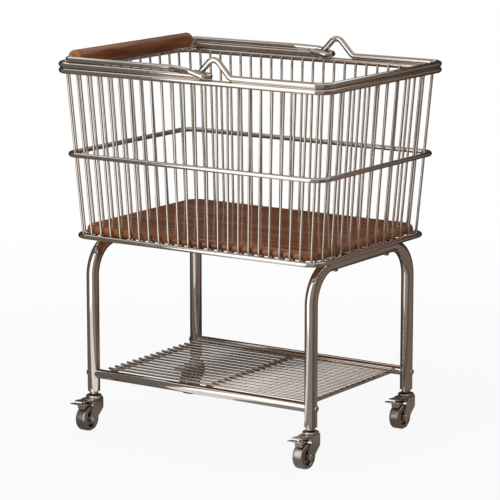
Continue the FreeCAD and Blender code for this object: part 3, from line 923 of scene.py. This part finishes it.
class BASKET_OT_legs(bpy.types.Operator):
    """Make the two leg frames, bent from round tube"""

    bl_idname = "basket.legs"
    bl_label = "Leg Frames"

    def execute(self, context):
        sizes = context.scene.basket_sizes
        for node, side in (("leg_frame_left", -1), ("leg_frame_right", 1)):
            low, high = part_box(node)
            top = high.z - sizes.leg_tube / 2
            corners = [(side * LEG[0], -LEG[1], low.z), (side * LEG[0], -LEG[1], top),
                       (side * LEG[0], LEG[1], top), (side * LEG[0], LEG[1], low.z)]
            route = rounded_route(corners, [0, sizes.leg_bend, sizes.leg_bend, 0], steps=20)
            make_piece(node.replace("frame", "tube"),
                       [bar(route, sizes.leg_tube, X, 40, end=0.08)], "nickel_tube",
                       "cart_frame", (node,))
        return {"FINISHED"}


class BASKET_OT_shelf(bpy.types.Operator):
    """Make the lower shelf: rails, cross rods, wires, welds and domed bolt heads"""

    bl_idname = "basket.shelf"
    bl_label = "Shelf"

    def execute(self, context):
        sizes = context.scene.basket_sizes
        height = middle_of("shelf_rail_front", 2)
        reach = LEG[0] - RAIL_SETBACK
        for node, y in (("shelf_rail_front", -LEG[1]), ("shelf_rail_back", LEG[1])):
            route = [(-reach, y, height), (0, y, height), (reach, y, height)]
            make_piece(node.replace("shelf_rail", "rail_tube"),
                       [bar(route, sizes.rail_tube, Z, 32, end=0.02)], "nickel_tube",
                       "cart_frame", (node,))
        inner = LEG[1] - sizes.rail_tube / 2 + 0.6 * MM
        spots_x = np.array([-CROSS_X, 0.0, CROSS_X])
        along = np.array([(0, -inner, height), (0, 0, height), (0, inner, height)])
        rods = along[None] + spots_x[:, None, None] * X
        make_piece("cross_rods", [bar(rods, sizes.cross_rod, Z, 18)], "nickel_steel",
                   "cart_frame", ("shelf_cross_rods",))
        level = height + (sizes.cross_rod + sizes.wire) / 2 - WELD
        half = CROSS_X + SHELF_OVERHANG
        spots_y = (np.arange(sizes.shelf_wires) - (sizes.shelf_wires - 1) / 2) * SHELF_PITCH
        stations = np.array([-half, -CROSS_X, -150 * MM, 0, 150 * MM, CROSS_X, half])
        line = stations[:, None] * X + level * Z
        wires = line[None] + spots_y[:, None, None] * Y
        piece = make_piece("shelf_grid_wires", [bar(wires, sizes.wire, Z, 12, end=0.45)],
                           "nickel_wire", "cart_frame", ("shelf_wires",))
        away = np.abs(np.abs(vertex_array(piece)[:, :1]) - [[0.0, CROSS_X]]).min(1)
        add_attribute(piece, "weld_heat", np.exp(-(away / (7 * MM)) ** 2))
        crossings = np.array([(x, y, height + sizes.cross_rod / 2 - 0.1 * MM)
                              for x in spots_x for y in spots_y])
        ends = np.array([(x, s * (inner - 0.2 * MM), height) for x in spots_x for s in (-1, 1)])
        bead = sizes.weld_bead
        shells = [ellipsoids(crossings, bead * 0.9, bead * 0.5, Y),
                  ellipsoids(ends, sizes.cross_rod * 0.3, sizes.cross_rod * 0.66, Y, 14, 7)]
        make_piece("shelf_welds", shells, "weld_nickel", "cart_frame")
        outline = eased_outline(
            [(0.3, 4.1), (3.0, 3.9), (5.2, 2.4), (6, 0.9), (6, 0), (3, 0), (3, -20), (0.3, -20)],
            [0, 2, 2, 0.6, 0.2, 0.2, 0.5, 0])
        heads = [turned(outline, (s * (LEG[0] + RAIL_BOLT_SEAT), y, height), s * X, Y, 32)
                 for s in (-1, 1) for y in (-LEG[1], LEG[1])]
        make_piece("rail_bolt_heads", heads, "polished_bolt", "cart_frame",
                   ("rail_bolts",))
        return {"FINISHED"}


class BASKET_OT_casters(bpy.types.Operator):
    """Make the casters' swivel stems with their cups, the wheels and the axle caps"""

    bl_idname = "basket.casters"
    bl_label = "Casters"

    def execute(self, context):
        stem = eased_outline(
            [(0.3, 58.4), (5.8, 58.4), (6.3, 59.2), (6.3, 60.9), (4, 60.9), (4, 64.1),
             (15.9, 64.1), (16.5, 65.2), (16.5, 67.9), (15.2, 69.6), (12.2, 70.6), (10.4, 71.6),
             (8.7, 72.6), (8.7, 77.3), (5.5, 77.3), (5.5, 105.5), (4, 107), (0.3, 107)],
            [0, 0.5, 0.4, 0.3, 0.3, 0.2, 0.4, 0.8, 1.2, 0.9, 1.2, 0.8, 1.0, 0.4, 0.2, 0.8, 0.8,
             0], steps=4)
        hub = eased_outline(
            [(3.05, -12.6), (6.4, -12.6), (7.6, -5.0), (14.6, -3.6), (16.6, -10.2),
             (17.6, -11.6), (20, -11.4), (20, 11.4), (17.6, 11.6), (16.6, 10.2), (14.6, 3.6),
             (7.6, 5.0), (6.4, 12.6), (3.05, 12.6)],
            [0.3, 0.8, 1.6, 1.8, 1.2, 0.5, 0.3, 0.3, 0.5, 1.2, 1.8, 1.6, 0.8, 0.3], True, 4)
        tread = eased_outline(
            [(20.02, -12), (22.6, -12), (25.5, -9.6), (25.5, 9.6), (22.6, 12), (20.02, 12)],
            [0.3, 2.2, 5.5, 5.5, 2.2, 0.3], True, 6)
        cap = eased_outline(
            [(0.3, 3.4), (2.6, 3.2), (4.9, 2.0), (5.6, 0.7), (5.6, 0), (3, 0), (3, -16.05),
             (0.3, -16.05)], [0, 1.4, 1.6, 0.5, 0.2, 0.2, 0, 0], steps=4)
        stems = []
        for label, (sx, sy) in CORNERS.items():
            at = np.array([sx * LEG[0], sy * LEG[1], 0.0])
            hub_at = at + AXLE[0] * Y + AXLE[1] * Z
            stems.append(turned(stem, at, Z, X, 48))
            make_piece("hub_" + label, [turned(hub, hub_at, X, Y, 48, True)],
                       "wheel_hub_chrome", "wheel_" + label,
                       ("wheel_hub_" + label,))
            make_piece("tread_" + label, [turned(tread, hub_at, X, Y, 72, True)],
                       "wheel_tread_chrome", "wheel_" + label,
                       ("wheel_tread_" + label,))
            caps = [turned(cap, hub_at + s * AXLE_CAP_SEAT * X, s * X, Y, 32) for s in (-1, 1)]
            make_piece("axle_" + label, caps, "polished_bolt", "caster_" + label,
                       ("caster_axle_" + label,))
        make_piece("swivel_stems", stems, "caster_chrome", "cart_frame",
                   ("caster_stems",))
        return {"FINISHED"}


class BASKET_OT_studio(bpy.types.Operator):
    """Make the pale floor, the soft lamps, the reflecting cards and the camera"""

    bl_idname = "basket.studio"
    bl_label = "Studio"

    camera_azimuth = math.radians(33.64)
    camera_elevation = math.radians(10.92)
    camera_distance = 5.2274
    camera_target = Vector((-0.00055, -0.00016, 0.3677))
    camera_lens = 186.5

    def execute(self, context):
        scene = context.scene
        scene.view_settings.view_transform = "Standard"
        self.sky(scene)
        self.floor()
        self.cards()
        self.lamps()
        a, e = self.camera_azimuth, self.camera_elevation
        back = Vector((math.sin(a) * math.cos(e), -math.cos(a) * math.cos(e), math.sin(e)))
        data = bpy.data.cameras.new("camera")
        data.lens = self.camera_lens
        data.clip_end = 60.0
        camera = bpy.data.objects.new("camera", data)
        camera.location = self.camera_target + back * self.camera_distance
        camera.rotation_euler = (-back).to_track_quat("-Z", "Y").to_euler()
        scene.collection.objects.link(camera)
        scene.camera = camera
        return {"FINISHED"}

    def seen_directly(self, nodes, links):
        """One for camera, glossy and transmission rays, else nothing."""
        path = nodes.new("ShaderNodeLightPath").outputs
        some = math_node(nodes, links, "MAXIMUM", path["Is Camera Ray"], path["Is Glossy Ray"])
        return math_node(nodes, links, "MAXIMUM", some, path["Is Transmission Ray"])

    def sky(self, scene):
        world = bpy.data.worlds.new("studio")
        scene.world = world
        world.use_nodes = True
        nodes, links = world.node_tree.nodes, world.node_tree.links
        nodes.clear()
        light = nodes.new("ShaderNodeBackground")
        seen = nodes.new("ShaderNodeBackground")
        light.inputs["Color"].default_value = (1.0, 0.985, 0.965, 1.0)
        light.inputs["Strength"].default_value = 0.4
        seen.inputs["Strength"].default_value = 1.0
        seen.inputs["Color"].default_value = (1.0, 1.0, 1.0, 1.0)
        mix = nodes.new("ShaderNodeMixShader")
        out = nodes.new("ShaderNodeOutputWorld")
        links.new(self.seen_directly(nodes, links), mix.inputs[0])
        links.new(light.outputs[0], mix.inputs[1])
        links.new(seen.outputs[0], mix.inputs[2])
        links.new(mix.outputs[0], out.inputs[0])

    def floor(self):
        finish = Finish("pale_floor")
        nodes, links = finish.nodes, finish.links
        finish.feed(Base_Color=(0.9, 0.9, 0.9, 1.0), Roughness=0.9)
        finish.shader.inputs["Specular IOR Level"].default_value = 0.0
        glow = nodes.new("ShaderNodeEmission")
        glow.inputs["Strength"].default_value = 1.0
        mix = nodes.new("ShaderNodeMixShader")
        reach = nodes.new("ShaderNodeVectorMath")
        reach.operation = "LENGTH"
        links.new(finish.place, reach.inputs[0])
        paper = spread(nodes, links, reach.outputs["Value"], 0.7, 2.4, 0.9, 1.0)
        share = math_node(nodes, links, "MULTIPLY", self.seen_directly(nodes, links), paper)
        links.new(share, mix.inputs[0])
        links.new(finish.shader.outputs[0], mix.inputs[1])
        links.new(glow.outputs[0], mix.inputs[2])
        links.new(mix.outputs[0], finish.output.inputs["Surface"])
        a = np.linspace(0, 2 * math.pi, 64, endpoint=False)
        disc = 14.0 * np.column_stack([np.cos(a), np.sin(a), np.zeros(64)])
        mesh = bpy.data.meshes.new("studio_floor")
        mesh.from_pydata(disc.tolist(), [], [list(range(64))])
        mesh.materials.append(finish.material)
        plane = bpy.data.objects.new("studio_floor", mesh)
        bpy.context.scene.collection.objects.link(plane)

    def card(self, name, first, last, near, far, low, high, tone):
        """A curved card: (r sin b, -r cos b, z), b from first to last degrees off the lens."""
        finish = Finish(name)
        finish.nodes.remove(finish.shader)
        glow = finish.nodes.new("ShaderNodeEmission")
        glow.inputs["Color"].default_value = (*tone, 1.0)
        finish.links.new(glow.outputs[0], finish.output.inputs["Surface"])
        b = np.radians(np.linspace(first, last, 25)) + self.camera_azimuth
        r = np.linspace(near, far, 2)[:, None]
        z = np.linspace(low, high, 2)[:, None] + 0 * b
        points = np.stack([r * np.sin(b), -r * np.cos(b), z], -1).reshape(-1, 3)
        i = np.arange(24)
        faces = np.stack([i, i + 1, i + 26, i + 25], -1)
        mesh = bpy.data.meshes.new(name)
        mesh.from_pydata(points.tolist(), [], faces.tolist())
        mesh.materials.append(finish.material)
        sheet = bpy.data.objects.new(name, mesh)
        bpy.context.scene.collection.objects.link(sheet)
        for way in ("camera", "diffuse", "transmission", "shadow", "volume_scatter"):
            setattr(sheet, "visible_" + way, False)

    def cards(self):
        near, top = 1.3, 1.5
        for name, first, last, tone in (
                ("strip", -66, -27, (1.9, 1.86, 1.8)), ("left", -112, -66, (0.17, 0.15, 0.135)),
                ("lens", -27, 20, (0.3, 0.285, 0.265)), ("right", 20, 48, (0.13, 0.11, 0.095)),
                ("warm", 48, 112, (0.21, 0.155, 0.12)),
                ("far_right", 112, 180, (0.05, 0.04, 0.034)),
                ("far_left", -180, -112, (0.06, 0.052, 0.047))):
            self.card("card_" + name, first, last, near, near, 0, top, tone)
            self.card("ceiling_" + name, first, last, 0.3, 1.05, 2.2, 1.75, (0.36, 0.34, 0.32))
            if name != "strip":
                self.card("floor_" + name, first, last, 0.02, near, 0.003, 0.003, tone)

    def lamps(self):
        """Area lamps given as name, azimuth off the lens, height, distance, size, watts."""
        for name, off, height, away, size, watts, tone in (
                ("key", -52.0, 2.6, 2.9, (2.2, 1.6), 36.0, (1.0, 0.985, 0.96)),
                ("fill", 58.0, 1.6, 3.6, (2.0, 1.6), 6.0, (1.0, 0.97, 0.94)),
                ("top", 150.0, 3.4, 0.7, (2.4, 2.4), 17.0, (1.0, 0.99, 0.98))):
            b = math.radians(off) + self.camera_azimuth
            data = bpy.data.lights.new(name, "AREA")
            data.shape = "RECTANGLE"
            data.size, data.size_y = size
            data.energy = watts
            data.color = tone
            lamp = bpy.data.objects.new(name, data)
            lamp.location = (away * math.sin(b), -away * math.cos(b), height)
            lamp.visible_glossy = False
            aim = Vector((0, 0, 0.42)) - lamp.location
            lamp.rotation_euler = aim.to_track_quat("-Z", "Y").to_euler()
            bpy.context.scene.collection.objects.link(lamp)


STEPS = (BASKET_OT_finishes, BASKET_OT_hoops, BASKET_OT_wires, BASKET_OT_board,
         BASKET_OT_handle, BASKET_OT_legs, BASKET_OT_shelf, BASKET_OT_casters,
         BASKET_OT_studio)


class BASKET_PT_panel(bpy.types.Panel):
    """Lists the basket's sizes, colours and build steps"""

    bl_idname = "BASKET_PT_panel"
    bl_label = "Laundry Basket"
    bl_space_type = "VIEW_3D"
    bl_region_type = "UI"
    bl_category = "Basket"

    def draw(self, context):
        for group in (context.scene.basket_sizes, context.scene.basket_colours):
            column = self.layout.column()
            for name in group.__annotations__:
                column.prop(group, name)
        for step in STEPS:
            self.layout.operator(step.bl_idname)


CLASSES = (BasketSizes, BasketColours, *STEPS, BASKET_PT_panel)


def register():
    for item in CLASSES:
        bpy.utils.register_class(item)
    bpy.types.Scene.basket_sizes = bpy.props.PointerProperty(type=BasketSizes)
    bpy.types.Scene.basket_colours = bpy.props.PointerProperty(type=BasketColours)


def unregister():
    del bpy.types.Scene.basket_colours
    del bpy.types.Scene.basket_sizes
    for item in reversed(CLASSES):
        bpy.utils.unregister_class(item)


def main():
    register()
    bpy.ops.basket.finishes()
    bpy.ops.basket.hoops()
    bpy.ops.basket.wires()
    bpy.ops.basket.board()
    bpy.ops.basket.handle()
    bpy.ops.basket.legs()
    bpy.ops.basket.shelf()
    bpy.ops.basket.casters()
    bpy.ops.basket.studio()


if __name__ == "__main__":
    main()
